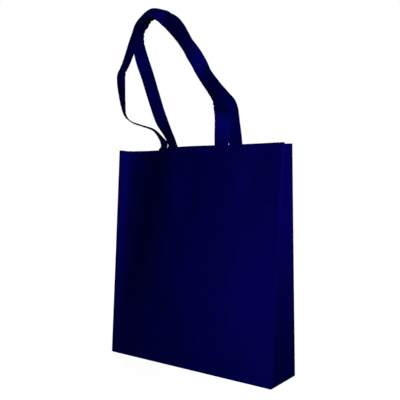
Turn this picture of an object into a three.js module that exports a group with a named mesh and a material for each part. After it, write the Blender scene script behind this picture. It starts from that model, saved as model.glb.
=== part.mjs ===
import * as THREE from 'three';

// A soft shopping bag sewn from non-woven cloth, standing open and empty. Sizes are millimetres:
// X runs along the width, -Y is the front, Z is up, and the base stands on Z = 0.
const width = 380;
const height = 420;
const depth = 90;

// Cloth: one layer, the double hem folded to the inside of the mouth, and the clearance at seams.
const cloth = 0.8;
const hemLayers = 2;
const hemDepth = 40;
const hemStep = 1;
const seamGap = 0.3;
const seamTurn = 5;

// The two panels lean from the base to the mouth and swell outwards. The front one is dented from
// the left strap down to the lower left corner, and fullest at the lower right.
const front = {
  name: 'front_panel', side: -1, rimLeft: -20, rimRight: -5, belly: 12, dent: 22, fullness: 14, droop: 3.4,
};
const back = {
  name: 'back_panel', side: 1, rimLeft: 16, rimRight: 31, belly: 5, dent: 0, fullness: 0, droop: 0,
};
const bellyRise = 0.6;
const dentHead = -126;
const dentFoot = -192;
const dentReach = 55;
const dentEdge = 23;
const dentRise = 0.6;
const fullX = 70;
const fullZ = 120;
const fullReachX = 120;
const fullReachZ = 115;
const fullEdge = 46;
const fullFoot = 45;

// The side gussets fold inwards towards the mouth, and bow outwards a little between their edges.
// The dented front pushes the fold of the left gusset back.
const creaseDepth = 33;
const creasePower = 1.3;
const gussetBow = 1.5;
const leftFoldBack = 4;

// Each handle is a folded strap, sewn behind the hem at both ends and cut 750 long. A station is
// x, y and z of the strap's middle, then the heading and the lift of its width, in degrees.
const strapWidth = 29.5;
const strapThickness = 1.6;
const strapGap = 1.2;
const frontHandle = {
  name: 'front_handle', panel: front, sewn: 25, leftX: -76, rightX: 68.5,
  stations: [
    [-77.5, -8, 429, 156, 0], [-84.5, -10, 443, 145, 0], [-96.5, -17, 458.5, 136, 0],
    [-116, -30, 467, 128, 0], [-135, -42, 475.5, 127, 0], [-146, -47, 490, 141, 0],
    [-151, -48, 513, 153, 0], [-157, -45, 540, 162, 0], [-164.8, -38.5, 567, 168, 0],
    [-166.2, -35.5, 577, 170, 0], [-162.2, -29.5, 592, 172, 0], [-160, -18, 620, 174, 2],
    [-159.6, -10, 642, 172, 5], [-158.2, -4, 664, 160, 18], [-153.6, -3, 678.3, 153, 26],
    [-144.6, -2, 687, 146, 40], [-122.8, -1, 699, 108, 57], [-96.2, -1, 694.5, 83, 45],
    [-84.6, -1, 687.5, 40, 44], [-70.4, -1, 673, -17, 49], [-43.5, -1, 645, -16, 42],
    [-16, -2, 613.5, 6, 34], [5.5, -3, 585, 42, 30], [19, -5, 562.5, 14, 28], [45, -13, 531, -10, 28],
    [65.5, -24, 511, -6, 14], [72.5, -27, 494, 0, 3], [68, -13, 475, 29, 0], [68, -13, 450, 29, 0],
  ],
};
const backHandle = {
  name: 'back_handle', panel: back, sewn: 38, leftX: -77.5, rightX: 71.5,
  stations: [
    [-78, 20, 432, 164, 0], [-88, 17, 456, 168, 0], [-104, 15, 484, 186, 0], [-119.3, 12, 526, 191, 0],
    [-135, 9, 574, 194, 0], [-151, 7, 617, 194, 0], [-158.5, 8, 644, 183, 4],
    [-153.3, 8.5, 669.8, 168, 16.5], [-140.5, 11.3, 684.3, 150, 42.5], [-127, 10.3, 695, 118, 61],
    [-106, 8.8, 695.7, 86, 52], [-92, 8.5, 690, 34, 40], [-79.8, 8.4, 681.7, -3, 49],
    [-64, 8, 672, -1, 50], [-47.5, 8, 656, -14, 42], [-25, 8, 617.5, 2, 32], [-4.5, 8, 588.5, 36, 28],
    [9.5, 9, 564.5, 10, 26], [34.5, 12, 534.5, -8, 24], [52, 15, 514.5, -4, 12], [64.5, 18, 497, 8, 4],
    [68.5, 22, 463, 10, 0],
  ],
};

// How finely each surface is divided.
const turnSteps = 3;
const panelColumns = 20;
const panelRows = 12;
const hemRows = 2;
const gussetHalfSteps = 4;
const strapSteps = 3;

const clothColour = 0x02023a;
const clothRoughness = 0.85;

const { lerp, clamp, smoothstep, degToRad, radToDeg } = THREE.MathUtils;
const rightAngle = Math.PI / 2;

function splits(from, to, steps) {
  return Array.from({ length: steps + 1 }, (_, i) => lerp(from, to, i / steps));
}

function dentAt(x, up) {
  const centre = lerp(dentFoot, dentHead, up);
  const sideFade = smoothstep(x, -width / 2, -width / 2 + dentEdge);
  const footFade = smoothstep(up, 0, dentRise);
  return sideFade * footFade * Math.exp(-(((x - centre) / dentReach) ** 2));
}

function fullnessAt(x, z) {
  const fade = smoothstep(width / 2 - x, 0, fullEdge) * smoothstep(z, 0, fullFoot);
  return fade * Math.exp(-(((x - fullX) / fullReachX) ** 2) - ((z - fullZ) / fullReachZ) ** 2);
}

function faceY(panel, x, z) {
  const across = clamp(x / width + 0.5, 0, 1);
  const up = clamp(z / height, 0, 1);
  const rim = lerp(panel.rimLeft, panel.rimRight, across);
  const leaning = lerp((panel.side * depth) / 2, rim, up);
  const rise = Math.sin(Math.min(1, up / bellyRise) * rightAngle);
  const swell = panel.belly * rise * Math.sin(Math.PI * across) + panel.fullness * fullnessAt(x, z);
  return leaning + panel.side * (swell - panel.dent * dentAt(x, up));
}

function faceNormal(panel, x, z) {
  const slopeX = (faceY(panel, x + 1, z) - faceY(panel, x - 1, z)) / 2;
  const slopeZ = (faceY(panel, x, z + 1) - faceY(panel, x, z - 1)) / 2;
  return new THREE.Vector3(-slopeX, 1, -slopeZ).multiplyScalar(panel.side).normalize();
}

// Heights at which a wall is divided, from the rim down to the turn at the base.
function wallHeights() {
  const hemFoot = height - hemDepth;
  return [...splits(height, hemFoot, hemRows), ...splits(hemFoot - hemStep, seamTurn, panelRows)];
}

function wallThickness(z) {
  return z >= height - hemDepth ? cloth * hemLayers : cloth;
}

// A closed sheet from two matching grids of points, one for each face, with a wall round its edge.
function sheetGeometry(outer, inner) {
  const rows = outer.length;
  const columns = outer[0].length;
  const points = [...outer.flat(), ...inner.flat()];
  const outerAt = (r, c) => r * columns + c;
  const innerAt = (r, c) => (rows + r) * columns + c;
  const triangles = [];
  const quad = (a, b, c, d) => triangles.push(a, b, c, a, c, d);
  for (let r = 0; r < rows - 1; r += 1) {
    for (let c = 0; c < columns - 1; c += 1) {
      quad(outerAt(r, c), outerAt(r + 1, c), outerAt(r + 1, c + 1), outerAt(r, c + 1));
      quad(innerAt(r, c), innerAt(r, c + 1), innerAt(r + 1, c + 1), innerAt(r + 1, c));
    }
    quad(outerAt(r, 0), innerAt(r, 0), innerAt(r + 1, 0), outerAt(r + 1, 0));
    const last = columns - 1;
    quad(outerAt(r, last), outerAt(r + 1, last), innerAt(r + 1, last), innerAt(r, last));
  }
  for (let c = 0; c < columns - 1; c += 1) {
    quad(outerAt(0, c), outerAt(0, c + 1), innerAt(0, c + 1), innerAt(0, c));
    const last = rows - 1;
    quad(outerAt(last, c), innerAt(last, c), innerAt(last, c + 1), outerAt(last, c + 1));
  }
  const geometry = new THREE.BufferGeometry().setFromPoints(points);
  geometry.setIndex(triangles);
  geometry.computeVertexNormals();
  return geometry;
}

// A panel's point and its outward direction. Both sides and the foot turn softly into the seams.
function panelPoint(panel, column, row) {
  const curl = Math.max(column.curl, row.curl);
  const aim = Math.atan2(row.curl, column.curl);
  const reach = seamTurn * Math.sin(curl);
  const x = column.x + Math.sign(column.x) * reach * Math.cos(aim);
  const z = row.z - reach * Math.sin(aim);
  const y = faceY(panel, x, z) - panel.side * seamTurn * (1 - Math.cos(curl));
  const sag = panel.droop * dentAt(x, 1) * clamp(z / height, 0, 1) ** 3;
  const turnedTo = new THREE.Vector3(Math.sign(column.x) * Math.cos(aim), 0, -Math.sin(aim));
  const normal = faceNormal(panel, x, z).multiplyScalar(Math.cos(curl));
  normal.addScaledVector(turnedTo, Math.sin(curl)).normalize();
  return { point: new THREE.Vector3(x, y, z - sag), normal };
}

function panelGeometry(panel) {
  const flatHalf = width / 2 - seamTurn;
  const curls = splits(rightAngle, 0, turnSteps).slice(0, -1);
  const columns = [
    ...curls.map((curl) => ({ x: -flatHalf, curl })),
    ...splits(-flatHalf, flatHalf, panelColumns).map((x) => ({ x, curl: 0 })),
    ...curls.toReversed().map((curl) => ({ x: flatHalf, curl })),
  ];
  const rows = [
    ...wallHeights().map((z) => ({ z, curl: 0 })),
    ...curls.toReversed().map((curl) => ({ z: seamTurn, curl })),
  ];
  const acrossFromLeft = panel.side < 0 ? columns : columns.toReversed();
  const grid = rows.map((row) => acrossFromLeft.map((column) => panelPoint(panel, column, row)));
  const outer = grid.map((line) => line.map(({ point }) => point));
  const inner = grid.map((line, r) => line.map(({ point, normal }) => (
    point.clone().addScaledVector(normal, -wallThickness(rows[r].z))
  )));
  return sheetGeometry(outer, inner);
}

// The gusset strip runs down the left side, along the base and up the right side.
function gussetStations() {
  const flatHalf = width / 2 - seamTurn;
  const down = wallHeights().slice(0, -1).map((z) => ({ x: -width / 2, z, out: [-1, 0] }));
  const corner = splits(0, rightAngle, turnSteps).map((angle) => ({
    x: -flatHalf - seamTurn * Math.cos(angle),
    z: seamTurn - seamTurn * Math.sin(angle),
    out: [-Math.cos(angle), -Math.sin(angle)],
  }));
  const leftHalf = [...down, ...corner];
  const rightHalf = leftHalf.toReversed().map(({ x, z, out }) => ({ x: -x, z, out: [-out[0], out[1]] }));
  return [...leftHalf, ...rightHalf];
}

function gussetEdgeY(panel, x, z) {
  return faceY(panel, x, z) - panel.side * (seamTurn + seamGap);
}

function gussetPoint(station, across) {
  const frontY = gussetEdgeY(front, station.x, station.z);
  const backY = gussetEdgeY(back, station.x, station.z);
  const up = clamp((station.z - seamTurn) / (height - seamTurn), 0, 1);
  const fold = creaseDepth * (1 - (1 - up) ** creasePower);
  const bow = gussetBow * Math.sin(Math.PI * up);
  const fromEdge = 1 - Math.abs(across);
  const inward = fold * fromEdge - bow * Math.sin(Math.PI * fromEdge);
  const steepness = -Math.sign(across) * (fold - Math.PI * bow * Math.cos(Math.PI * fromEdge));
  const out = new THREE.Vector3(station.out[0], 0, station.out[1]);
  const pushed = station.x < 0 ? leftFoldBack * fromEdge * up ** 2 : 0;
  const point = new THREE.Vector3(station.x, lerp(frontY, backY, (across + 1) / 2) + pushed, station.z);
  point.addScaledVector(out, -inward);
  const onEdge = Math.abs(across) === 1;
  const normal = out.clone().multiplyScalar((backY - frontY) / 2);
  normal.y = onEdge ? 0 : steepness;
  return { point, normal: normal.normalize() };
}

function gussetGeometry() {
  const stations = gussetStations();
  const across = splits(1, -1, 2 * gussetHalfSteps);
  const grid = stations.map((station) => across.map((a) => gussetPoint(station, a)));
  const outer = grid.map((line) => line.map(({ point }) => point));
  const inner = grid.map((line, s) => line.map(({ point, normal }) => (
    point.clone().addScaledVector(normal, -wallThickness(stations[s].z))
  )));
  return sheetGeometry(outer, inner);
}

// A sewn strap end lies flat behind its panel's hem, clear of it at both edges.
function sewnStation(panel, x, z, outerEdge) {
  const leftY = faceY(panel, x - strapWidth / 2, z);
  const rightY = faceY(panel, x + strapWidth / 2, z);
  const behind = cloth * hemLayers + strapGap + strapThickness / 2;
  const lean = radToDeg(Math.atan2(rightY - leftY, strapWidth));
  return [x, (leftY + rightY) / 2 - panel.side * behind, z, outerEdge < 0 ? lean + 180 : lean, 0];
}

function handleStations(handle) {
  const { panel, leftX, rightX, sewn } = handle;
  const ends = [height - sewn, height - sewn / 2, height];
  return [
    ...ends.map((z) => sewnStation(panel, leftX, z, -1)),
    ...handle.stations,
    ...ends.toReversed().map((z) => sewnStation(panel, rightX, z, 1)),
  ];
}

function handleGeometry(handle) {
  const stations = handleStations(handle);
  const middle = new THREE.CatmullRomCurve3(stations.map(([x, y, z]) => new THREE.Vector3(x, y, z)));
  const facing = new THREE.CatmullRomCurve3(stations.map(([, , , heading, lift]) => (
    new THREE.Vector3().setFromSphericalCoords(1, degToRad(90 - lift), degToRad(heading))
  )));
  const steps = strapSteps * (stations.length - 1);
  const outer = [];
  const inner = [];
  for (const t of splits(0, 1, steps)) {
    const centre = middle.getPoint(t);
    const along = middle.getTangent(t);
    const { x, y, z } = facing.getPoint(t);
    const wide = new THREE.Vector3(z, x, y);
    wide.addScaledVector(along, -wide.dot(along)).normalize();
    const normal = along.clone().cross(wide);
    const corner = (w, n) => centre.clone()
      .addScaledVector(wide, (w * strapWidth) / 2)
      .addScaledVector(normal, (n * strapThickness) / 2);
    outer.push([corner(-1, 1), corner(1, 1)]);
    inner.push([corner(-1, -1), corner(1, -1)]);
  }
  return sheetGeometry(outer, inner);
}

function piece(name, geometry) {
  const material = new THREE.MeshStandardMaterial({
    color: clothColour, roughness: clothRoughness, metalness: 0, side: THREE.FrontSide,
  });
  const mesh = new THREE.Mesh(geometry, material);
  mesh.name = name;
  return mesh;
}

const bag = new THREE.Group();
for (const panel of [front, back]) {
  bag.add(piece(panel.name, panelGeometry(panel)));
}
bag.add(piece('gusset_strip', gussetGeometry()));
for (const handle of [frontHandle, backHandle]) {
  bag.add(piece(handle.name, handleGeometry(handle)));
}

export default bag;
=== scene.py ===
import math

import bpy
import numpy as np
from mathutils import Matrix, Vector


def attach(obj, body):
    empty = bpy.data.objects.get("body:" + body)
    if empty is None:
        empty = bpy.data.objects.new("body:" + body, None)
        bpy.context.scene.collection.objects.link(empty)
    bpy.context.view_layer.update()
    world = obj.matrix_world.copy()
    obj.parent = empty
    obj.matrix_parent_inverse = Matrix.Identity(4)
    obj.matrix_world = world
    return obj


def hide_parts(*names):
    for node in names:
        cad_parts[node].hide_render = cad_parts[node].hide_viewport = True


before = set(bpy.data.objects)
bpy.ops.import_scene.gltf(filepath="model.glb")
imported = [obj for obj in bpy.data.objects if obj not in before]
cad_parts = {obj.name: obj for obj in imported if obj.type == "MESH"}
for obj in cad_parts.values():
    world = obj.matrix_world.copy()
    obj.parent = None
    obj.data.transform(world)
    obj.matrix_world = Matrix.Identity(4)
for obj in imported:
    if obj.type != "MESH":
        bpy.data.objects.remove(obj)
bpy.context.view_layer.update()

# Sizes are millimetres, in the CAD frame: X along the width, -Y the front, Z up. Meshes are made in metres.
MM = 0.001
WIDTH = 380.0
HEIGHT = 420.0
DEPTH = 90.0

# Cloth and seams
CLOTH = 0.45
LIP = 3.2
SEAM_ROLL = 0.8
SEAM_GAP = 0.15
ALLOWANCE = 4.5
SEAM_DEPTH = LIP + SEAM_ROLL

# The hem: a groove at its stitches, a soft puff above them and a step at its lower edge
HEM_DEPTH = 40.0
HEM_STITCH = 36.0
HEM_GAP = 1.2
HEM_GROOVE = 0.28
HEM_GROOVE_REACH = 1.3
HEM_PUFF = 0.3
HEM_PUFF_TOP = (-2.0, 6.0)
HEM_PUFF_FOOT = (1.0, 8.0)
HEM_EDGE = 0.18
HEM_EDGE_REACH = 1.2
HEM_EDGE_FADE = (0.0, 1.6)

# The two panels lean from the base to the mouth and swell outwards, and the front one is dented.
FRONT = {
    "name": "front_panel", "side": -1, "rim": (-20, -5),
    "belly": 12, "dent": 22, "fullness": 14, "droop": 3.4,
}
BACK = {
    "name": "back_panel", "side": 1, "rim": (16, 31),
    "belly": 5, "dent": 0, "fullness": 0, "droop": 0,
}
BELLY_RISE = 0.6
DENT_HEAD = -126
DENT_FOOT = -192
DENT_REACH = 55
DENT_EDGE = 23
DENT_RISE = 0.6
FULL_X = 70
FULL_Z = 120
FULL_REACH_X = 120
FULL_REACH_Z = 115
FULL_EDGE = 46
FULL_FOOT = 45

# Soft creases on each panel: from x, z to x, z, half width, height outwards
FRONT["creases"] = [
    (2, 430, -4, 285, 27, -2.6),
    (112, 285, 122, 20, 42, 3.6),
    (78, 425, 96, 320, 26, 1.4),
    (-40, 210, 20, 30, 34, 1.2),
    (150, 420, 120, 300, 22, -1.2),
    (-120, 60, -30, 20, 16, -0.8),
    (30, 110, 110, 30, 15, -0.8),
    (150, 90, 182, 12, 12, -0.9),
]
BACK["creases"] = [
    (-76, 425, -120, 240, 30, -2.4),
    (70, 425, 118, 250, 28, -2.2),
    (-10, 420, 8, 260, 30, 1.6),
    (-150, 150, -60, 30, 26, -1.4),
    (60, 40, 150, 130, 24, -1.4),
    (0, 200, 90, 90, 40, 1.5),
]
CREASE_START = (-0.12, 0.3)
CREASE_END = 1.12
CREASE_END_FADE = (0.0, 0.42)

# Slow waves all over the panels, and pucker along their seams
WAVE_COUNT = 7
WAVE_HEIGHT = 0.16
WAVE_SEED = 11
WAVE_LENGTHS = (45.0, 120.0)
PUCKER_HEIGHT = 0.22
PUCKER_PITCH = 13.0
PUCKER_REACH = 11.0
PUCKER_INSET = 5.0
LARGE_FADE = (0.0, 26.0)
SMALL_FADE = (0.0, 4.0)
SLOPE_STEP = 0.5

# The rim rises on the right and at its left end, and the left gusset's fold sags.
RIM_RISE = 1.5
RIM_RISE_SPAN = (-120.0, 20.0)
RIM_RISE_LEFT = 1.0
RIM_RISE_LEFT_SPAN = (-185.0, -140.0)
RIM_WAVE = 0.5
RIM_WAVE_LENGTH = 37.0
RIM_POWER = 3
RIM_NORMAL_DROP = 20.0
VALLEY_SAG = 3.0
VALLEY_POWER = 0.7
LEFT_FOLD_BACK = 4.0

# The side gussets fold inwards towards the mouth and bow outwards a little between their edges.
CREASE_DEPTH = 33.0
CREASE_POWER = 1.3
CREASE_SOFTNESS = 0.05
GUSSET_BOW = 1.5
GUSSET_FOOT_FADE = (0.0, 0.1)
GUSSET_HEM_POWER = 0.5
UPRIGHT = 0.99

# Ripples of the gussets: height, length up the side, turn across the strip
LONG_RIPPLE = (0.5, 21.0, 2.0)
SHORT_RIPPLE = (0.35, 9.5, -3.0)

# Handles: straps sewn behind the hem. A station is x, y, z, then the width's heading and lift in degrees.
STRAP_WIDTH = 29.5
STRAP_THICKNESS = 1.6
STRAP_BEHIND = 3.0
FRONT_HANDLE = {
    "name": "front_handle", "panel": FRONT, "sewn": 25, "left": -76, "right": 68.5,
    "stations": [
        (-77.5, -8, 429, 156, 0), (-84.5, -10, 443, 145, 0), (-96.5, -17, 458.5, 136, 0),
        (-116, -30, 467, 128, 0), (-135, -42, 475.5, 127, 0), (-146, -47, 490, 141, 0),
        (-151, -48, 513, 153, 0), (-157, -45, 540, 162, 0), (-164.8, -38.5, 567, 168, 0),
        (-166.2, -35.5, 577, 170, 0), (-162.2, -29.5, 592, 172, 0), (-160, -18, 620, 174, 2),
        (-159.6, -10, 642, 172, 5), (-158.2, -4, 664, 160, 18), (-153.6, -3, 678.3, 153, 26),
        (-144.6, -2, 687, 146, 40), (-122.8, -1, 699, 108, 57), (-96.2, -1, 694.5, 83, 45),
        (-84.6, -1, 687.5, 40, 44), (-70.4, -1, 673, -17, 49), (-43.5, -1, 645, -16, 42),
        (-16, -2, 613.5, 6, 34), (5.5, -3, 585, 42, 30), (19, -5, 562.5, 14, 28),
        (45, -13, 531, -10, 28), (65.5, -24, 511, -6, 14), (72.5, -27, 494, 0, 3),
        (68, -13, 475, 29, 0), (68, -13, 450, 29, 0),
    ],
}
BACK_HANDLE = {
    "name": "back_handle", "panel": BACK, "sewn": 38, "left": -77.5, "right": 71.5,
    "stations": [
        (-78, 20, 432, 164, 0), (-88, 17, 456, 168, 0), (-104, 15, 484, 186, 0),
        (-119.3, 12, 526, 191, 0), (-135, 9, 574, 194, 0), (-151, 7, 617, 194, 0),
        (-158.5, 8, 644, 183, 4), (-153.3, 8.5, 669.8, 168, 16.5), (-140.5, 11.3, 684.3, 150, 42.5),
        (-127, 10.3, 695, 118, 61), (-106, 8.8, 695.7, 86, 52), (-92, 8.5, 690, 34, 40),
        (-79.8, 8.4, 681.7, -3, 49), (-64, 8, 672, -1, 50), (-47.5, 8, 656, -14, 42),
        (-25, 8, 617.5, 2, 32), (-4.5, 8, 588.5, 36, 28), (9.5, 9, 564.5, 10, 26),
        (34.5, 12, 534.5, -8, 24), (52, 15, 514.5, -4, 12), (64.5, 18, 497, 8, 4),
        (68.5, 22, 463, 10, 0),
    ],
}

# The strap's section: places across its flat, round each row of stitches and at its folded edge
SECTION_FLAT = (0, 3, 6, 8.5)
SECTION_DIP = (-1.3, -0.6, 0.0, 0.6, 1.3)
SECTION_EDGE = (1.0, 0.45, 0.12)
SECTION_POWER = 14
STITCH_DIP = 0.24
STITCH_DIP_REACH = 0.75
STRAP_STITCH_INSET = 3.0

# Where a strap bends edgewise it crumples, most at its inner edge, and a slow wave runs along it.
CRUMPLE_GAIN = 40.0
CRUMPLE_MOST = 1.5
CRUMPLE_PITCH = 15.0
CRUMPLE_SPREAD = 7
CRUMPLE_ENDS = (45.0, 75.0)
CRUMPLE_MIDDLE = 0.55
CRUMPLE_EDGE = 0.45
CRUMPLE_DRIFT = 1.4
CRUMPLE_DRIFT_LENGTH = 23.0
SLOW_WAVE = 0.35
SLOW_WAVE_LENGTH = 31.0

# Sewing thread: a stitch is a few rings, given by their place along it, radius and height
THREAD_RADIUS = 0.22
THREAD_SIDES = 6
STITCH_LENGTH = 2.5
STITCH_PITCH = 3.2
STITCH_START = 0.3
STITCH_PLACES = (0.0, 0.14, 0.5, 0.86, 1.0)
STITCH_RADII = (0.35, 0.9, 1.0, 0.9, 0.35)
STITCH_HEIGHTS = (-0.25, 0.05, 0.12, 0.05, -0.25)
BOX_INSET = 3.5

# How finely each surface is divided
GRID = 3.6
STRAP_GRID = 2.8
SPLINE_STEPS = 24
LIP_STEPS = 6
ROLL_STEPS = 4
ALLOWANCE_STEPS = 2
EDGE_STEPS = LIP_STEPS + ROLL_STEPS + ALLOWANCE_STEPS
GUSSET_EDGE_STEPS = ROLL_STEPS + ALLOWANCE_STEPS
CORNER_STEPS = 8
RIM_STEPS = 7
HEM_OUTSIDE = (
    0, 1.2, 2.6, 4.5, 7, 10, 14, 18, 22, 26, 29.5, 32, 33.6, 34.6, 35.3, 36,
    36.7, 37.4, 38.4, 39.4, 40.2, 41, 42.2, 44.5,
)
HEM_INSIDE = (4, 9, 15, 21, 27, 32, 35, 36, 37, HEM_DEPTH)
GUSSET_FACE_STEPS = 13
GUSSET_NEAR_FOLD = (0.16, 0.11, 0.07, 0.035, 0.0)
GUSSET_MEASURED_ROW = 60
HEM_RUN_STEPS = 240
BOX_RUN_STEPS = 20
GUSSET_RUN_STEPS = 60

# Wear: how much the rim's first rows, the turned edges, the fold and the strap's edges are rubbed
RIM_WEAR = (1.0, 0.6)
PANEL_EDGE_WEAR = (4.0, 2.5)
GUSSET_EDGE_WEAR = (2.0, 2.0)
FOLD_WEAR = 0.5
FOLD_WEAR_REACH = 0.05
STRAP_WEAR_REACH = 0.5

# Colours, linear
NAVY = (0.0007, 0.0007, 0.059)
NAVY_DEEP = (0.0006, 0.0006, 0.050)
NAVY_WORN = (0.0009, 0.0009, 0.063)
THREAD_BLUE = (0.0008, 0.0008, 0.049)
SPECULAR_BLUE = (0.02, 0.02, 1.0, 1.0)
FLOOR_WHITE = (0.12, 0.12, 0.12)
WHITE = (1.0, 1.0, 1.0, 1.0)

# Cloth and thread finish: noise is scale, detail and roughness, a bump is distance in metres and strength
CLOTH_PITCH = 0.0016
CLOTH_CLOUDINESS = 0.16
STRAP_PITCH = 0.0014
STRAP_CLOUDINESS = 0.12
BOND_TURN = math.radians(45.0)
BOND_EDGE = (0.18, 0.42)
BOND_BUMP = (0.00008, 0.7)
FIBRE_NOISE = (900.0, 6.0, 0.7)
FIBRE_BUMP = (0.00006, 0.6)
FIBRE_SPAN = (0.25, 0.75)
CLOUD_NOISE = (26.0, 5.0, 0.6)
MOTTLE_NOISE = (330.0, 3.0, 0.6)
MOTTLE_SPAN = (0.3, 0.72)
MOTTLE_SHARE = 0.45
CLOTH_ROUGHNESS = (0.74, 0.92)
CLOTH_SPECULAR = 0.005
THREAD_SCALE = 1500.0
THREAD_DETAIL = 2.0
THREAD_SPAN = (0.3, 0.7)
THREAD_ROUGHNESS = 0.6
THREAD_SPECULAR = 0.1
THREAD_BUMP = (0.00005, 0.5)

# Floor, light and camera, in metres and degrees
FLOOR_RADIUS = 6.0
FLOOR_SIDES = 96
FLOOR_DROP = 0.0005
FLOOR_GLOW_SPAN = (0.3, 0.8)
FLOOR_GLOW = (0.94, 1.0)
WORLD_FILL = 0.015
PANEL_LAMPS = [
    {"name": "key", "target": (0.0, 0.0, 0.25), "azimuth": 48.5, "elevation": 23.0, "distance": 2.4,
     "size": 0.7, "level": 0.68},
    {"name": "back", "target": (0.0, 0.0, 0.25), "azimuth": 236.0, "elevation": 25.0, "distance": 2.4,
     "size": 0.9, "level": 0.80},
]
SPOT_POWER = 4.0
SPOT_LAMPS = [
    {"name": "side", "target": (0.05, 0.0, 0.585), "azimuth": 81.7, "elevation": 2.0, "distance": 2.2,
     "radius": 0.15, "level": 1.36, "cone": 27.5},
    {"name": "low", "target": (0.2, -0.045, 0.03), "azimuth": 0.5, "elevation": 20.0, "distance": 2.2,
     "radius": 0.15, "level": 0.66, "cone": 16.4},
]
CAMERA_PLACE = (0.6555, -0.8821, 0.3458)
CAMERA_TILT = 90.0 - 1.41
CAMERA_TURN = 36.32
CAMERA_LENS = 50.99
CAMERA_SENSOR = 36.0


def smoothstep(value, low, high):
    t = np.clip((value - low) / (high - low), 0.0, 1.0)
    return t * t * (3.0 - 2.0 * t)


def lerp(a, b, t):
    return a + (b - a) * t


def unit(vectors):
    return vectors / np.linalg.norm(vectors, axis=-1, keepdims=True)


def run_length(points):
    steps = np.linalg.norm(np.diff(points, axis=0), axis=1)
    return np.concatenate([[0.0], np.cumsum(steps)])


def along_run(places, length, values):
    """Values of three parts at places along a run."""
    return np.stack([np.interp(places, length, values[:, i]) for i in range(3)], -1)


# Panel shape

def dent_at(x, up):
    centre = lerp(DENT_FOOT, DENT_HEAD, up)
    fade = smoothstep(x, -WIDTH / 2, -WIDTH / 2 + DENT_EDGE) * smoothstep(up, 0, DENT_RISE)
    return fade * np.exp(-(((x - centre) / DENT_REACH) ** 2))


def fullness_at(x, z):
    fade = smoothstep(WIDTH / 2 - x, 0, FULL_EDGE) * smoothstep(z, 0, FULL_FOOT)
    return fade * np.exp(-(((x - FULL_X) / FULL_REACH_X) ** 2) - ((z - FULL_Z) / FULL_REACH_Z) ** 2)


def crease_height(creases, x, z):
    total = np.zeros_like(x)
    for x0, z0, x1, z1, half_width, rise in creases:
        length = math.hypot(x1 - x0, z1 - z0)
        ax = (x1 - x0) / length
        az = (z1 - z0) / length
        along = ((x - x0) * ax + (z - z0) * az) / length
        aside = (x - x0) * -az + (z - z0) * ax
        ends = smoothstep(along, *CREASE_START) * smoothstep(CREASE_END - along, *CREASE_END_FADE)
        total = total + rise * ends * np.exp(-((aside / half_width) ** 2))
    return total


def wave_height(seed, x, z):
    draw = np.random.default_rng(seed)
    total = np.zeros_like(x)
    for _ in range(WAVE_COUNT):
        length = draw.uniform(*WAVE_LENGTHS)
        turn = draw.uniform(0.0, math.pi)
        phase = draw.uniform(0.0, 2.0 * math.pi)
        across = x * math.cos(turn) + z * math.sin(turn)
        total = total + WAVE_HEIGHT * np.sin(2.0 * math.pi * across / length + phase)
    return total


def pucker_along(from_edge, along):
    near = np.exp(-((from_edge - PUCKER_INSET) / PUCKER_REACH) ** 2)
    return near * np.sin(2.0 * math.pi * along / PUCKER_PITCH)


def hem_height(z):
    below = HEIGHT - z
    groove = -HEM_GROOVE * np.exp(-(((below - HEM_STITCH) / HEM_GROOVE_REACH) ** 2))
    puff = HEM_PUFF * smoothstep(below, *HEM_PUFF_TOP) * smoothstep(HEM_STITCH - below, *HEM_PUFF_FOOT)
    edge = HEM_EDGE * smoothstep(HEM_DEPTH + HEM_EDGE_REACH - below, *HEM_EDGE_FADE)
    return groove + puff + edge


def soft_detail(panel, x, z):
    from_side = WIDTH / 2 - np.abs(x)
    inside = smoothstep(from_side, *LARGE_FADE) * smoothstep(z, *LARGE_FADE)
    near = smoothstep(from_side, *SMALL_FADE) * smoothstep(z, *SMALL_FADE)
    large = crease_height(panel["creases"], x, z) + wave_height(WAVE_SEED + panel["side"], x, z)
    pucker = PUCKER_HEIGHT * (pucker_along(from_side, z) + pucker_along(z, x))
    return inside * large + near * (pucker + hem_height(z))


def face_y(panel, x, z, detail=True):
    x = np.asarray(x, float)
    z = np.asarray(z, float)
    across = np.clip(x / WIDTH + 0.5, 0.0, 1.0)
    up = np.clip(z / HEIGHT, 0.0, 1.0)
    rim = lerp(panel["rim"][0], panel["rim"][1], across)
    leaning = lerp(panel["side"] * DEPTH / 2, rim, up)
    rise = np.sin(np.minimum(1.0, up / BELLY_RISE) * math.pi / 2)
    swell = panel["belly"] * rise * np.sin(math.pi * across) + panel["fullness"] * fullness_at(x, z)
    outward = swell - panel["dent"] * dent_at(x, up)
    if detail:
        outward = outward + soft_detail(panel, x, z)
    return leaning + panel["side"] * outward


def face_normal(panel, x, z):
    slope_x = face_y(panel, x + SLOPE_STEP, z) - face_y(panel, x - SLOPE_STEP, z)
    slope_z = face_y(panel, x, z + SLOPE_STEP) - face_y(panel, x, z - SLOPE_STEP)
    return unit(panel["side"] * np.stack([-slope_x, np.ones_like(slope_x), -slope_z], axis=-1))


def rim_rise(x):
    """How far the rim stands above its nominal height: most on the right, a little at the left end."""
    right = RIM_RISE * smoothstep(x, *RIM_RISE_SPAN)
    return right + RIM_RISE_LEFT * (1.0 - smoothstep(x, *RIM_RISE_LEFT_SPAN))


def rim_share(z):
    """How much of the rim's rise and sag a height takes."""
    return np.clip(z / HEIGHT, 0.0, 1.0) ** RIM_POWER


def rim_sag(panel, x, z):
    sag = panel["droop"] * dent_at(x, 1.0) + RIM_WAVE * np.sin(x / RIM_WAVE_LENGTH + panel["side"])
    return (sag - rim_rise(x)) * rim_share(z)


# Rows and columns of the cloth

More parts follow.
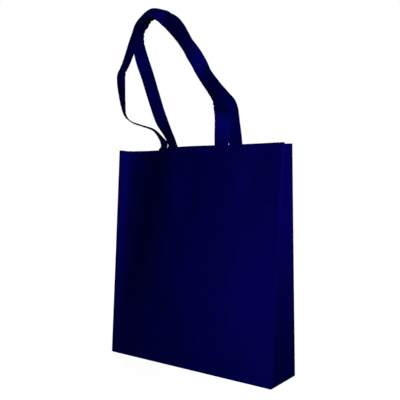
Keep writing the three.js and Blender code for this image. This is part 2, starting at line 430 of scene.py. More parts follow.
def edge_way(step):
    """How far out and how deep the cloth is at a step of its edge, step 0 being the flat face.

    The edge goes round the lip, tightly inwards at the seam, then along the seam allowance.
    """
    step = np.asarray(step, float)
    lip = np.clip(step / LIP_STEPS, 0.0, 1.0) * math.pi / 2
    roll = np.clip((step - LIP_STEPS) / ROLL_STEPS, 0.0, 1.0) * math.pi / 2
    back = np.clip((step - LIP_STEPS - ROLL_STEPS) / ALLOWANCE_STEPS, 0.0, 1.0) * ALLOWANCE
    out = LIP * np.sin(lip) - SEAM_ROLL * (1.0 - np.cos(roll)) - back
    deep = LIP * (1.0 - np.cos(lip)) + SEAM_ROLL * np.sin(roll)
    return out, deep


def wall_heights():
    """Heights of the rows, from the rim to the lowest flat row, closer together at the hem."""
    hem = HEIGHT - np.array(HEM_OUTSIDE)
    rows = int((hem[-1] - LIP) / GRID)
    return np.concatenate([hem, np.linspace(hem[-1], LIP, rows + 1)[1:]])


def panel_columns(panel):
    """Places across a panel and the steps of its turned edges, so ordered that its faces point outwards."""
    flat_half = WIDTH / 2 - LIP
    count = int(2 * flat_half / GRID)
    steps = np.arange(EDGE_STEPS, 0, -1)
    flat = np.linspace(-flat_half, flat_half, count + 1)
    x = np.concatenate([np.full(EDGE_STEPS, -flat_half), flat, np.full(EDGE_STEPS, flat_half)])
    edge = np.concatenate([steps, np.zeros(count + 1), steps[::-1]])
    if panel["side"] > 0:
        return x[::-1], edge[::-1]
    return x, edge


def panel_rows():
    """Heights down a panel, and the steps of its turned foot."""
    heights = wall_heights()
    z = np.concatenate([heights, np.full(EDGE_STEPS, LIP)])
    edge = np.concatenate([np.zeros(len(heights)), np.arange(1, EDGE_STEPS + 1)])
    return z, edge


def panel_points(panel, x, x_edge, z, z_edge):
    """Points of the panel's outer face for rows and columns, turned in at the sides and foot."""
    x, z = np.broadcast_arrays(x[None, :], z[:, None])
    x_edge, z_edge = np.broadcast_arrays(x_edge[None, :], z_edge[:, None])
    out, deep = edge_way(np.maximum(x_edge, z_edge))
    aim = np.arctan2(z_edge, np.maximum(x_edge, 1e-9))
    aim = np.where(np.maximum(x_edge, z_edge) > 0, aim, 0.0)
    px = x + np.sign(x) * out * np.cos(aim)
    pz = z - out * np.sin(aim)
    py = face_y(panel, px, pz) - panel["side"] * deep
    return np.stack([px, py, pz - rim_sag(panel, px, pz)], axis=-1)


def rim_path():
    """The fold over the rim, as offset from the face and drop below the rim's edge."""
    turn = np.linspace(0.0, math.pi, RIM_STEPS)[1:]
    radius = HEM_GAP / 2
    offsets = np.concatenate([radius - radius * np.cos(turn), np.full(len(HEM_INSIDE), HEM_GAP)])
    drops = np.concatenate([radius - radius * np.sin(turn), HEM_INSIDE])
    return offsets, drops


# Meshes

def grid_faces(rows, columns, first=0):
    r, c = np.meshgrid(np.arange(rows - 1), np.arange(columns - 1), indexing="ij")
    a = first + r * columns + c
    return np.stack([a, a + columns, a + columns + 1, a + 1], axis=-1).reshape(-1, 4)


def bridge_faces(upper, lower):
    """Faces between two rows of point numbers."""
    return np.stack([upper[:-1], upper[1:], lower[1:], lower[:-1]], axis=-1)


def flat_places(across, down):
    """Places on the flat cut for a grid of points, in millimetres."""
    return np.stack(np.meshgrid(across, down), -1).reshape(-1, 2)


def make_mesh(name, points, faces):
    mesh = bpy.data.meshes.new(name)
    mesh.from_pydata((points * MM).tolist(), [], faces)
    mesh.update()
    mesh.polygons.foreach_set("use_smooth", [True] * len(mesh.polygons))
    piece = bpy.data.objects.new(name, mesh)
    bpy.context.scene.collection.objects.link(piece)
    return piece


def corner_points(mesh):
    """The point number at each corner of each face."""
    corners = np.zeros(len(mesh.loops), np.int64)
    mesh.loops.foreach_get("vertex_index", corners)
    return corners


def lay_out(mesh, corner_uv, wear):
    """Give a mesh its place on the flat cut, for each corner, and its wear, for each point."""
    layer = mesh.uv_layers.new(name="cut")
    layer.data.foreach_set("uv", (corner_uv * MM).astype(np.float32).ravel())
    field = mesh.attributes.new("wear", "FLOAT", "POINT")
    field.data.foreach_set("value", wear.astype(np.float32).ravel())


def cloth_piece(name, points, faces, uv, wear):
    """A cut of cloth from its outer face, thickened to the inside."""
    piece = make_mesh(name, points, faces.tolist())
    lay_out(piece.data, uv[corner_points(piece.data)], wear)
    solid = piece.modifiers.new("cloth", "SOLIDIFY")
    solid.thickness = CLOTH * MM
    solid.offset = -1.0
    solid.use_even_offset = False
    return piece


# Panels

def rim_normals(panel, rim, x, x_edge):
    """Directions out of the cloth along the rim, turning sideways round the lips."""
    normals = face_normal(panel, rim[:, 0], np.full(len(rim), HEIGHT - RIM_NORMAL_DROP))
    lip = np.minimum(x_edge / LIP_STEPS, 1.0) * math.pi / 2
    sideways = np.sign(x)[:, None] * np.array([1.0, 0.0, 0.0])
    return unit(normals * np.cos(lip)[:, None] + sideways * np.sin(lip)[:, None])


def panel_hem(panel, x, x_edge, kept, normals):
    """Rows that go over the rim and down inside it."""
    hem = []
    for offset, drop in zip(*rim_path()):
        row = panel_points(panel, x, x_edge, np.array([HEIGHT - drop]), np.zeros(1))[0, kept]
        hem.append(row - normals * offset)
    return np.array(hem)


def panel_wear(x_edge, z_edge):
    middle, reach = PANEL_EDGE_WEAR
    turned = np.maximum(x_edge[None, :], z_edge[:, None])
    worn = np.exp(-((turned - middle) / reach) ** 2)
    for row, least in enumerate(RIM_WEAR):
        worn[row] = np.maximum(worn[row], least)
    return worn


def build_panel(panel):
    x, x_edge = panel_columns(panel)
    z, z_edge = panel_rows()
    outer = panel_points(panel, x, x_edge, z, z_edge)
    rows, columns = outer.shape[:2]
    kept = slice(EDGE_STEPS - LIP_STEPS, columns - EDGE_STEPS + LIP_STEPS)
    normals = rim_normals(panel, outer[0, kept], x[kept], x_edge[kept])
    hem = panel_hem(panel, x, x_edge, kept, normals)
    first = rows * columns
    count = hem.shape[1]
    faces = np.concatenate([
        grid_faces(rows, columns),
        grid_faces(len(hem), count, first)[:, ::-1],
        bridge_faces(np.arange(columns)[kept], first + np.arange(count)),
    ])
    points = np.concatenate([outer.reshape(-1, 3), hem.reshape(-1, 3)])
    across = run_length(outer[(rows - EDGE_STEPS) // 2])
    down = run_length(outer[:, columns // 2])
    uv = np.concatenate([flat_places(across, -down), flat_places(across[kept], rim_path()[1])])
    wear = np.concatenate([panel_wear(x_edge, z_edge).ravel(), np.zeros(len(hem) * count)])
    return cloth_piece(panel["name"] + "_cloth", points, faces, uv, wear)


# Gusset strip

def gusset_stations():
    """Stations of the strip: down the left side, along the base and up the right side."""
    heights = wall_heights()[:-1]
    flat_half = WIDTH / 2 - LIP
    turn = np.linspace(0.0, math.pi / 2, CORNER_STEPS)
    count = int(flat_half / GRID)
    base = np.linspace(-flat_half, 0.0, count + 1)[1:]
    x = np.concatenate([np.full(len(heights), -WIDTH / 2), -flat_half - LIP * np.cos(turn), base])
    z = np.concatenate([heights, LIP - LIP * np.sin(turn), np.zeros(count)])
    out_x = np.concatenate([np.full(len(heights), -1.0), -np.cos(turn), np.zeros(count)])
    out_z = np.concatenate([np.zeros(len(heights)), -np.sin(turn), np.full(count, -1.0)])
    mirror = slice(-2, None, -1)
    return (np.concatenate([x, -x[mirror]]), np.concatenate([z, z[mirror]]),
            np.concatenate([out_x, -out_x[mirror]]), np.concatenate([out_z, out_z[mirror]]))


def gusset_across():
    """Columns of the strip from back to front: 1 to -1, with the steps of the turned edges."""
    face = np.linspace(1.0, GUSSET_NEAR_FOLD[0], GUSSET_FACE_STEPS)
    face = np.concatenate([face, GUSSET_NEAR_FOLD[1:]])
    face = np.concatenate([face, -face[-2::-1]])
    steps = np.arange(GUSSET_EDGE_STEPS, 0, -1)
    across = np.concatenate([np.ones(GUSSET_EDGE_STEPS), face, -np.ones(GUSSET_EDGE_STEPS)])
    edge = np.concatenate([steps, np.zeros(len(face)), steps[::-1]])
    return across, edge


def ripple_height(across, x, z):
    height, length, turn = LONG_RIPPLE
    long_ripple = height * np.sin(z / length + turn * across + np.sign(x))
    height, length, turn = SHORT_RIPPLE
    return long_ripple + height * np.sin(z / length + turn * across)


def gusset_inward(up, across, x, z):
    fold = CREASE_DEPTH * (1.0 - (1.0 - up) ** CREASE_POWER)
    bow = GUSSET_BOW * np.sin(math.pi * up)
    soft = np.sqrt(across ** 2 + CREASE_SOFTNESS ** 2)
    sharp = math.sqrt(1.0 + CREASE_SOFTNESS ** 2)
    from_edge = np.clip(1.0 - soft / sharp, 0.0, 1.0)
    middle = np.sin(math.pi * from_edge) * smoothstep(up, *GUSSET_FOOT_FADE)
    return fold * from_edge - (bow + ripple_height(across, x, z)) * middle


def gusset_y(x, z, up, across, beside):
    """How far back the strip is: between the two panels' seams, with the left fold pushed back."""
    deep = SEAM_DEPTH + SEAM_GAP
    low = face_y(FRONT, x, z, detail=False) + deep + SEAM_ROLL
    high = face_y(BACK, x, z, detail=False) - deep - SEAM_ROLL
    pushed = np.where(x < 0.0, LEFT_FOLD_BACK, 0.0) * (1.0 - np.abs(across)) * up ** 2
    return lerp(low, high, (across + 1.0) / 2.0) + np.sign(across) * beside + pushed


def gusset_points(x, z, out_x, out_z, across, edge, offset=0.0):
    x, across = np.broadcast_arrays(x[:, None], across[None, :])
    z, edge = np.broadcast_arrays(z[:, None], edge[None, :])
    out_x = np.broadcast_to(out_x[:, None], x.shape)
    out_z = np.broadcast_to(out_z[:, None], x.shape)
    up = np.clip((z - LIP) / (HEIGHT - LIP), 0.0, 1.0)
    roll = np.clip(edge / ROLL_STEPS, 0.0, 1.0) * math.pi / 2
    back = np.clip((edge - ROLL_STEPS) / ALLOWANCE_STEPS, 0.0, 1.0) * ALLOWANCE
    turned = SEAM_ROLL * (1.0 - np.cos(roll)) + back
    y = gusset_y(x, z, up, across, SEAM_ROLL * np.sin(roll))
    from_edge = 1.0 - np.abs(across)
    hem = np.where(np.abs(out_x) > UPRIGHT, hem_height(z), 0.0) * (edge == 0)
    inward = gusset_inward(up, across, x, z) + turned + offset - hem * from_edge ** GUSSET_HEM_POWER
    sag = np.where(x < 0.0, VALLEY_SAG, 0.0) * from_edge ** VALLEY_POWER
    rise = (rim_rise(x) - sag) * rim_share(z)
    return np.stack([x - out_x * inward, y, z - out_z * inward + rise], axis=-1)


def gusset_hem(side, across, edge):
    """Rows that go over the rim of one side and down inside it."""
    x = np.array([side * WIDTH / 2])
    hem = []
    for offset, drop in zip(*rim_path()):
        z = np.array([HEIGHT - drop])
        row = gusset_points(x, z, np.array([side]), np.zeros(1), across, edge, offset)
        hem.append(row[0])
    return np.array(hem)


def gusset_wear(out_x, across, edge):
    middle, reach = GUSSET_EDGE_WEAR
    turned = np.exp(-((edge - middle) / reach) ** 2) * (edge > 0)
    worn = np.broadcast_to(turned, (len(out_x), len(edge))).copy()
    worn[[0, -1]] = 1.0
    fold = FOLD_WEAR * np.exp(-((across[None, :] / FOLD_WEAR_REACH) ** 2))
    return np.maximum(worn, fold * (np.abs(out_x)[:, None] > UPRIGHT))


def build_gusset():
    x, z, out_x, out_z = gusset_stations()
    across, edge = gusset_across()
    outer = gusset_points(x, z, out_x, out_z, across, edge)
    rows, columns = outer.shape[:2]
    width = run_length(outer[GUSSET_MEASURED_ROW])
    length = run_length(outer[:, 0])
    kept = slice(GUSSET_EDGE_STEPS, columns - GUSSET_EDGE_STEPS)
    drops = rim_path()[1]
    points = [outer.reshape(-1, 3)]
    faces = [grid_faces(rows, columns)]
    uv = [flat_places(width, -length)]
    wear = [gusset_wear(out_x, across, edge).ravel()]
    first = rows * columns
    ends = ((-1.0, 0, drops, 1), (1.0, rows - 1, -length[-1] - drops, -1))
    for side, row, down, way in ends:
        hem = gusset_hem(side, across[kept], edge[kept])
        count = hem.shape[1]
        bridge = bridge_faces(row * columns + np.arange(columns)[kept], first + np.arange(count))
        faces += [bridge[:, ::way], grid_faces(len(hem), count, first)[:, ::-way]]
        points.append(hem.reshape(-1, 3))
        uv.append(flat_places(width[kept], down))
        wear.append(np.zeros(len(hem) * count))
        first += len(hem) * count
    return cloth_piece("gusset_cloth", np.concatenate(points), np.concatenate(faces), np.concatenate(uv),
                       np.concatenate(wear))


# Handles

def spline(stations):
    """Points of a centripetal curve through the stations, evenly spaced in each span."""
    p = np.asarray(stations, float)
    p = np.vstack([2 * p[0] - p[1], p, 2 * p[-1] - p[-2]])
    spans = np.sqrt(np.linalg.norm(np.diff(p, axis=0), axis=1))
    t = (np.arange(SPLINE_STEPS) / SPLINE_STEPS)[:, None]
    out = []
    for i in range(len(p) - 3):
        p0, p1, p2, p3 = p[i:i + 4]
        d1 = spans[i + 1] if spans[i + 1] > 1e-4 else 1.0
        d0 = spans[i] if spans[i] > 1e-4 else d1
        d2 = spans[i + 2] if spans[i + 2] > 1e-4 else d1
        m1 = ((p1 - p0) / d0 - (p2 - p0) / (d0 + d1) + (p2 - p1) / d1) * d1
        m2 = ((p2 - p1) / d1 - (p3 - p1) / (d1 + d2) + (p3 - p2) / d2) * d1
        square = -3 * p1 + 3 * p2 - 2 * m1 - m2
        cube = 2 * p1 - 2 * p2 + m1 + m2
        out.append(p1 + m1 * t + square * t ** 2 + cube * t ** 3)
    return np.vstack(out + [p[-2]])


def sewn_station(panel, x, z, outer_edge):
    """A sewn strap end lies flat behind its panel's hem, clear of it at both edges."""
    left_y = float(face_y(panel, x - STRAP_WIDTH / 2, z))
    right_y = float(face_y(panel, x + STRAP_WIDTH / 2, z))
    lean = math.degrees(math.atan2(right_y - left_y, STRAP_WIDTH))
    y = (left_y + right_y) / 2 - panel["side"] * STRAP_BEHIND
    return (x, y, z, lean + (180.0 if outer_edge < 0 else 0.0), 0.0)


def handle_stations(handle):
    ends = [HEIGHT - handle["sewn"], HEIGHT - handle["sewn"] / 2, HEIGHT]
    left = [sewn_station(handle["panel"], handle["left"], z, -1) for z in ends]
    right = [sewn_station(handle["panel"], handle["right"], z, 1) for z in ends[::-1]]
    return left + handle["stations"] + right


def ribbon(handle):
    """The strap's middle, its width direction and its face direction, evenly spaced along it."""
    stations = np.array(handle_stations(handle), float)
    heading = np.radians(stations[:, 3])
    lift = np.radians(stations[:, 4])
    facing = np.stack([np.cos(lift) * np.cos(heading), np.cos(lift) * np.sin(heading), np.sin(lift)], -1)
    middle = spline(stations[:, :3])
    length = run_length(middle)
    even = np.linspace(0.0, length[-1], int(length[-1] / STRAP_GRID) + 1)
    wide = along_run(even, length, spline(facing))
    middle = along_run(even, length, middle)
    along = unit(np.gradient(middle, axis=0))
    wide = unit(wide - (wide * along).sum(1, keepdims=True) * along)
    return even, middle, along, wide, np.cross(along, wide)


def strap_section():
    """The strap's section as width and thickness places: rounded folded edges, a dip at each stitch row."""
    half = STRAP_WIDTH / 2
    inset = half - STRAP_STITCH_INSET
    right = np.concatenate([SECTION_FLAT, inset + np.array(SECTION_DIP), half - np.array(SECTION_EDGE)])
    across = np.concatenate([-right[:0:-1], right])
    swell = (1.0 - (np.abs(across) / half) ** SECTION_POWER) ** 0.5
    dip = STITCH_DIP * np.exp(-(((np.abs(across) - inset) / STITCH_DIP_REACH) ** 2))
    thick = STRAP_THICKNESS / 2 * swell - dip
    w = np.concatenate([[-half], across, [half], across[::-1]])
    n = np.concatenate([[0.0], thick, [0.0], -thick[::-1]])
    return w, n


def crumple(even, along, wide, w):
    """How far the cloth stands off the strap's plane where the strap bends edgewise."""
    bend = (np.gradient(along, even, axis=0) * wide).sum(1)
    bend = np.convolve(bend, np.ones(CRUMPLE_SPREAD) / CRUMPLE_SPREAD, mode="same")
    most = np.clip(np.abs(bend) * CRUMPLE_GAIN, 0.0, CRUMPLE_MOST)
    ends = smoothstep(even, *CRUMPLE_ENDS) * smoothstep(even[-1] - even, *CRUMPLE_ENDS)
    inner = CRUMPLE_MIDDLE + CRUMPLE_EDGE * np.sign(bend)[:, None] * w[None, :] / (STRAP_WIDTH / 2)
    drift = CRUMPLE_DRIFT * np.sin(even / CRUMPLE_DRIFT_LENGTH)
    phase = 2.0 * math.pi * even / CRUMPLE_PITCH + drift
    slow = SLOW_WAVE * np.sin(even / SLOW_WAVE_LENGTH) * ends
    return (most * ends * np.sin(phase))[:, None] * inner + slow[:, None]


def strap_points(handle, w, n):
    even, middle, along, wide, normal = ribbon(handle)
    lift = n[None, :] + crumple(even, along, wide, w)
    return even, middle[:, None] + wide[:, None] * w[None, :, None] + normal[:, None] * lift[..., None]


def tube_faces(rows, columns):
    """Faces round a closed section and along it, then its two ends."""
    r, c = np.meshgrid(np.arange(rows - 1), np.arange(columns), indexing="ij")
    here = r * columns + c
    after = r * columns + (c + 1) % columns
    sides = np.stack([here, after, after + columns, here + columns], -1).reshape(-1, 4)
    start = np.arange(columns)[::-1]
    end = (rows - 1) * columns + np.arange(columns)
    return sides.tolist() + [start.tolist(), end.tolist()]


def strap_uv(mesh, around, even):
    """Places on the flat cut, with the last face round the section ending at the cut's far edge."""
    corners = corner_points(mesh)
    columns = len(around) - 1
    uv = flat_places(around[:-1], even)[corners]
    starts = np.zeros(len(mesh.polygons), np.int64)
    mesh.polygons.foreach_get("loop_start", starts)
    quads = starts[:-2]
    seam = corners[quads] % columns == columns - 1
    for corner in (1, 2):
        uv[quads[seam] + corner, 0] = around[-1]
    return uv


def build_handle(handle):
    w, n = strap_section()
    even, points = strap_points(handle, w, n)
    rows, columns = points.shape[:2]
    piece = make_mesh(handle["name"] + "_strap", points.reshape(-1, 3), tube_faces(rows, columns))
    section = points[rows // 2]
    around = run_length(np.concatenate([section, section[:1]]))
    wear = np.exp(-((np.abs(w) - STRAP_WIDTH / 2) / STRAP_WEAR_REACH) ** 2)
    lay_out(piece.data, strap_uv(piece.data, around, even), np.broadcast_to(wear, (rows, columns)))
    return piece


# Sewing thread

def stitch_run(points, normals):
    """Start, end and upward direction of each stitch along a run of points."""
    length = run_length(points)
    starts = np.arange(STITCH_START, length[-1] - STITCH_LENGTH, STITCH_PITCH)
    up = unit(along_run(starts + STITCH_LENGTH / 2, length, normals))
    return along_run(starts, length, points), along_run(starts + STITCH_LENGTH, length, points), up


def stitch_points(start, end, up):
    """Rings of points along each stitch, which dips into the cloth at both ends."""
    along = unit(end - start)
    aside = unit(np.cross(along, up))
    up = np.cross(aside, along)
    places = np.array(STITCH_PLACES)
    radius = THREAD_RADIUS * np.array(STITCH_RADII)
    height = np.array(STITCH_HEIGHTS)
    turn = np.arange(THREAD_SIDES) * math.pi / (THREAD_SIDES / 2)
    centre = lerp(start[:, None], end[:, None], places[None, :, None]) + up[:, None] * height[None, :, None]
    ring = (aside[:, None, None] * np.cos(turn)[None, None, :, None]
            + up[:, None, None] * np.sin(turn)[None, None, :, None]) * radius[None, :, None, None]
    return centre[:, :, None] + ring


def stitch_faces(count):
    """Sides of all the stitches, then their ends."""
    sides = THREAD_SIDES
    rings = len(STITCH_PLACES)
    s, r, k = np.meshgrid(np.arange(count), np.arange(rings - 1), np.arange(sides), indexing="ij")
    base = (s * rings + r) * sides
    after = base + (k + 1) % sides
    faces = np.stack([base + k, after, after + sides, base + sides + k], -1).reshape(-1, 4)
    first = np.arange(count)[:, None] * rings * sides
    start = first + np.arange(sides)[::-1]
    end = first + (rings - 1) * sides + np.arange(sides)
    return faces.tolist() + start.tolist() + end.tolist()


def build_thread(name, runs):
    """One mesh of all the stitches of a piece."""
    parts = [stitch_run(points, normals) for points, normals in runs]
    start, end, up = [np.concatenate(group) for group in zip(*parts)]
    return make_mesh(name, stitch_points(start, end, up).reshape(-1, 3), stitch_faces(len(start)))


def on_panel(panel, x, z):
    points = np.stack([x, face_y(panel, x, z), z - rim_sag(panel, x, z)], -1)
    return points, face_normal(panel, x, z)


def box_lines(middle, sewn):
    """Ends of the lines of a crossed box of stitches, as x and z."""
    half = STRAP_WIDTH / 2 - BOX_INSET
    low = HEIGHT - sewn + BOX_INSET
    high = HEIGHT - BOX_INSET
    left = middle - half
    right = middle + half
    corners = [(left, low), (right, low), (right, high), (left, high), (left, low), (right, high)]
    return list(zip(corners[:-1], corners[1:])) + [((left, high), (right, low))]


def panel_runs(panel, handle):
    reach = WIDTH / 2 - LIP
    across = np.linspace(-reach, reach, HEM_RUN_STEPS)
    runs = [on_panel(panel, across, np.full(HEM_RUN_STEPS, HEIGHT - HEM_STITCH))]
    for middle in (handle["left"], handle["right"]):
        for (x0, z0), (x1, z1) in box_lines(middle, handle["sewn"]):
            x = np.linspace(x0, x1, BOX_RUN_STEPS)
            runs.append(on_panel(panel, x, np.linspace(z0, z1, BOX_RUN_STEPS)))
    return runs


def gusset_runs():
    runs = []
    across = np.linspace(-1.0, 1.0, GUSSET_RUN_STEPS)
    flat = np.zeros(GUSSET_RUN_STEPS)
    z = np.array([HEIGHT - HEM_STITCH])
    for side in (-1.0, 1.0):
        x = np.array([side * WIDTH / 2])
        points = gusset_points(x, z, np.array([side]), np.zeros(1), across, flat)[0]
        along = np.gradient(points, axis=0)
        normals = unit(np.cross(along, np.array([0.0, 0.0, 1.0])))
        normals *= np.sign(normals[:, :1] * side)
        runs.append((points, normals))
    return runs


def strap_runs(handle):
    half = STRAP_WIDTH / 2 - STRAP_STITCH_INSET
    thick = STRAP_THICKNESS / 2 - STITCH_DIP
    normal = ribbon(handle)[4]
    runs = []
    for w in (-half, half):
        for face in (-1.0, 1.0):
            _, points = strap_points(handle, np.array([w]), np.array([face * thick]))
            runs.append((points[:, 0], normal * face))
    return runs


# Materials

def new_material(name):
    material = bpy.data.materials.new(name)
    material.use_nodes = True
    tree = material.node_tree
    return material, tree, tree.nodes["Principled BSDF"]


def add(tree, kind, **settings):
    node = tree.nodes.new(kind)
    for key, value in settings.items():
        setattr(node, key, value)
    return node


def feed(tree, socket, value):
    """Link an output to a socket, or set the socket itself to a plain value."""
    if isinstance(value, bpy.types.NodeSocket):
        tree.links.new(value, socket)
    else:
        socket.default_value = value


def noise(tree, place, scale, detail, roughness):
    node = add(tree, "ShaderNodeTexNoise", noise_dimensions="2D")
    feed(tree, node.inputs["Vector"], place)
    feed(tree, node.inputs["Scale"], scale)
    feed(tree, node.inputs["Detail"], detail)
    feed(tree, node.inputs["Roughness"], roughness)
    return node.outputs["Fac"]


def ramp(tree, value, span, colours):
    node = add(tree, "ShaderNodeValToRGB")
    feed(tree, node.inputs["Fac"], value)
    for element, place, colour in zip(node.color_ramp.elements, span, colours):
        element.position = place
        element.color = (*colour, 1.0)
    return node.outputs["Color"]


def remap(tree, value, span, to_span):
    node = add(tree, "ShaderNodeMapRange")
    feed(tree, node.inputs["Value"], value)
    for key, number in zip(("From Min", "From Max", "To Min", "To Max"), (*span, *to_span)):
        feed(tree, node.inputs[key], number)
    return node.outputs["Result"]


def mix_colour(tree, share, a, b):
    node = add(tree, "ShaderNodeMix", data_type="RGBA")
    feed(tree, node.inputs["Factor"], share)
    feed(tree, node.inputs["A"], a)
    feed(tree, node.inputs["B"], b)
    return node.outputs["Result"]


def combine(tree, operation, a, b):
    node = add(tree, "ShaderNodeMath", operation=operation)
    feed(tree, node.inputs[0], a)
    feed(tree, node.inputs[1], b)
    return node.outputs["Value"]


def bump(tree, height, distance, strength, below=None):
    node = add(tree, "ShaderNodeBump")
    feed(tree, node.inputs["Height"], height)
    feed(tree, node.inputs["Distance"], distance)
    feed(tree, node.inputs["Strength"], strength)
    if below is not None:
        feed(tree, node.inputs["Normal"], below)
    return node.outputs["Normal"]


def bond_points(tree, place, pitch):
    """The pressed points of the cloth, in a grid that stands on its corner."""
    turned = add(tree, "ShaderNodeMapping")
    feed(tree, turned.inputs["Rotation"], (0.0, 0.0, BOND_TURN))
    feed(tree, turned.inputs["Vector"], place)
    points = add(tree, "ShaderNodeTexVoronoi", voronoi_dimensions="2D")
    feed(tree, points.inputs["Scale"], 1.0 / pitch)
    feed(tree, points.inputs["Randomness"], 0.0)
    feed(tree, points.inputs["Vector"], turned.outputs["Vector"])
    return remap(tree, points.outputs["Distance"], BOND_EDGE, (0.0, 1.0))


def cloth_colour(tree, place, cloudiness):
    """Slightly cloudy and mottled dye, paler where the cloth is rubbed."""
    cloudy = noise(tree, place, *CLOUD_NOISE)
    mottle = noise(tree, place, *MOTTLE_NOISE)
    dye = ramp(tree, cloudy, (0.5 - cloudiness, 0.5 + cloudiness), (NAVY_DEEP, NAVY))
    speck = ramp(tree, mottle, MOTTLE_SPAN, (NAVY_DEEP, NAVY))
    dyed = mix_colour(tree, MOTTLE_SHARE, dye, speck)
    wear = add(tree, "ShaderNodeAttribute", attribute_name="wear").outputs["Fac"]
    return mix_colour(tree, combine(tree, "MULTIPLY", wear, mottle), dyed, (*NAVY_WORN, 1.0))


def cloth_material(name, pitch, cloudiness):
    """Spunbond cloth: pressed bond points in a staggered grid, stray fibres, slightly cloudy dye."""
    material, tree, shader = new_material(name)
    place = add(tree, "ShaderNodeUVMap", uv_map="cut").outputs["UV"]
    fibres = noise(tree, place, *FIBRE_NOISE)
    rough = bump(tree, fibres, *FIBRE_BUMP)
    normal = bump(tree, bond_points(tree, place, pitch), *BOND_BUMP, rough)
    feed(tree, shader.inputs["Base Color"], cloth_colour(tree, place, cloudiness))
    feed(tree, shader.inputs["Roughness"], remap(tree, fibres, FIBRE_SPAN, CLOTH_ROUGHNESS))
    feed(tree, shader.inputs["Specular IOR Level"], CLOTH_SPECULAR)
    feed(tree, shader.inputs["Specular Tint"], SPECULAR_BLUE)
    feed(tree, shader.inputs["Normal"], normal)
    return material


def thread_material():
    material, tree, shader = new_material("sewing_thread")
    grain = add(tree, "ShaderNodeTexNoise")
    feed(tree, grain.inputs["Scale"], THREAD_SCALE)
    feed(tree, grain.inputs["Detail"], THREAD_DETAIL)
    feed(tree, grain.inputs["Vector"], add(tree, "ShaderNodeTexCoord").outputs["Object"])
    twist = grain.outputs["Fac"]
    feed(tree, shader.inputs["Base Color"], ramp(tree, twist, THREAD_SPAN, (THREAD_BLUE, NAVY_WORN)))
    feed(tree, shader.inputs["Roughness"], THREAD_ROUGHNESS)
    feed(tree, shader.inputs["Specular IOR Level"], THREAD_SPECULAR)
    feed(tree, shader.inputs["Specular Tint"], SPECULAR_BLUE)
    feed(tree, shader.inputs["Normal"], bump(tree, twist, *THREAD_BUMP))
    return material


# Floor, light and camera

def choose_shader(tree, seen, lit, surface):
    """Show one shader to camera, glossy and transmission rays, and light the scene with the other."""
    path = add(tree, "ShaderNodeLightPath").outputs
    direct = combine(tree, "MAXIMUM", path["Is Camera Ray"], path["Is Glossy Ray"])
    choose = add(tree, "ShaderNodeMixShader")
    feed(tree, choose.inputs["Fac"], combine(tree, "MAXIMUM", direct, path["Is Transmission Ray"]))
    feed(tree, choose.inputs[1], lit)
    feed(tree, choose.inputs[2], seen)
    feed(tree, surface, choose.outputs["Shader"])


def floor_material():
    """A pale floor that looks white, keeps the shadow and throws little light back."""
    material, tree, shader = new_material("floor")
    tree.nodes.remove(shader)
    diffuse = add(tree, "ShaderNodeBsdfDiffuse")
    feed(tree, diffuse.inputs["Color"], (*FLOOR_WHITE, 1.0))
    away = add(tree, "ShaderNodeVectorMath", operation="LENGTH")
    feed(tree, away.inputs[0], add(tree, "ShaderNodeTexCoord").outputs["Object"])
    glow = add(tree, "ShaderNodeEmission")
    feed(tree, glow.inputs["Strength"], remap(tree, away.outputs["Value"], FLOOR_GLOW_SPAN, FLOOR_GLOW))
    both = add(tree, "ShaderNodeAddShader")
    feed(tree, both.inputs[0], diffuse.outputs["BSDF"])
    feed(tree, both.inputs[1], glow.outputs["Emission"])
    surface = tree.nodes["Material Output"].inputs["Surface"]
    choose_shader(tree, both.outputs["Shader"], diffuse.outputs["BSDF"], surface)
    return material


def build_floor():
    bpy.ops.mesh.primitive_circle_add(vertices=FLOOR_SIDES, radius=FLOOR_RADIUS, fill_type="NGON",
                                      location=(0.0, 0.0, -FLOOR_DROP))
    floor = bpy.context.object
    floor.name = "floor"
    floor.data.materials.append(floor_material())


def build_world():
    world = bpy.data.worlds.new("studio")
    bpy.context.scene.world = world
    world.use_nodes = True
    tree = world.node_tree
    seen = tree.nodes["Background"]
    fill = add(tree, "ShaderNodeBackground")
    for background, strength in ((seen, 1.0), (fill, WORLD_FILL)):
        feed(tree, background.inputs["Color"], WHITE)
        feed(tree, background.inputs["Strength"], strength)
    surface = tree.nodes["World Output"].inputs["Surface"]
    choose_shader(tree, seen.outputs["Background"], fill.outputs["Background"], surface)


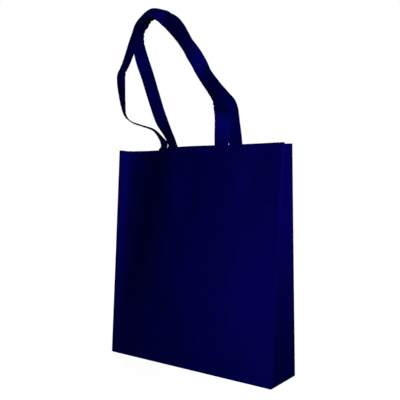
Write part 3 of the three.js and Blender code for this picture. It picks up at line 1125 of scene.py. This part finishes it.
def add_lamp(kind, lamp):
    """A lamp turned towards its target.

    Its azimuth turns from the front to the right, and level 1 lights a facing white sheet to white.
    """
    azimuth = math.radians(lamp["azimuth"])
    elevation = math.radians(lamp["elevation"])
    flat = math.cos(elevation)
    toward = Vector((math.sin(azimuth) * flat, -math.cos(azimuth) * flat, math.sin(elevation)))
    data = bpy.data.lights.new(lamp["name"], kind)
    data.energy = lamp["level"] * math.pi ** 2 * lamp["distance"] ** 2
    holder = bpy.data.objects.new(lamp["name"], data)
    holder.location = Vector(lamp["target"]) + toward * lamp["distance"]
    holder.rotation_euler = (-toward).to_track_quat("-Z", "Y").to_euler()
    bpy.context.scene.collection.objects.link(holder)
    return data


def build_lights():
    for lamp in PANEL_LAMPS:
        data = add_lamp("AREA", lamp)
        data.shape = "DISK"
        data.size = lamp["size"]
    for lamp in SPOT_LAMPS:
        data = add_lamp("SPOT", lamp)
        data.energy *= SPOT_POWER
        data.shadow_soft_size = lamp["radius"]
        data.spot_size = math.radians(lamp["cone"])
        data.spot_blend = 1.0


def build_camera():
    data = bpy.data.cameras.new("camera")
    data.sensor_width = CAMERA_SENSOR
    data.lens = CAMERA_LENS
    camera = bpy.data.objects.new("camera", data)
    camera.location = CAMERA_PLACE
    camera.rotation_euler = (math.radians(CAMERA_TILT), 0.0, math.radians(CAMERA_TURN))
    bpy.context.scene.collection.objects.link(camera)
    bpy.context.scene.camera = camera


def dress(piece, material):
    piece.data.materials.append(material)
    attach(piece, "root")
    return piece


def build_bag():
    cloth = cloth_material("nonwoven_cloth", CLOTH_PITCH, CLOTH_CLOUDINESS)
    strap = cloth_material("nonwoven_strap", STRAP_PITCH, STRAP_CLOUDINESS)
    thread = thread_material()
    gusset = dress(build_gusset(), cloth)
    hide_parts("gusset_strip")
    gusset_thread = dress(build_thread("gusset_thread", gusset_runs()), thread)
    for panel, handle in ((FRONT, FRONT_HANDLE), (BACK, BACK_HANDLE)):
        piece = dress(build_panel(panel), cloth)
        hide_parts(panel["name"])
        stitches = dress(build_thread(panel["name"] + "_thread", panel_runs(panel, handle)), thread)
        band = dress(build_handle(handle), strap)
        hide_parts(handle["name"])
        rows = dress(build_thread(handle["name"] + "_thread", strap_runs(handle)), thread)


build_bag()
build_floor()
build_world()
build_lights()
build_camera()
bpy.context.scene.view_settings.view_transform = "Standard"
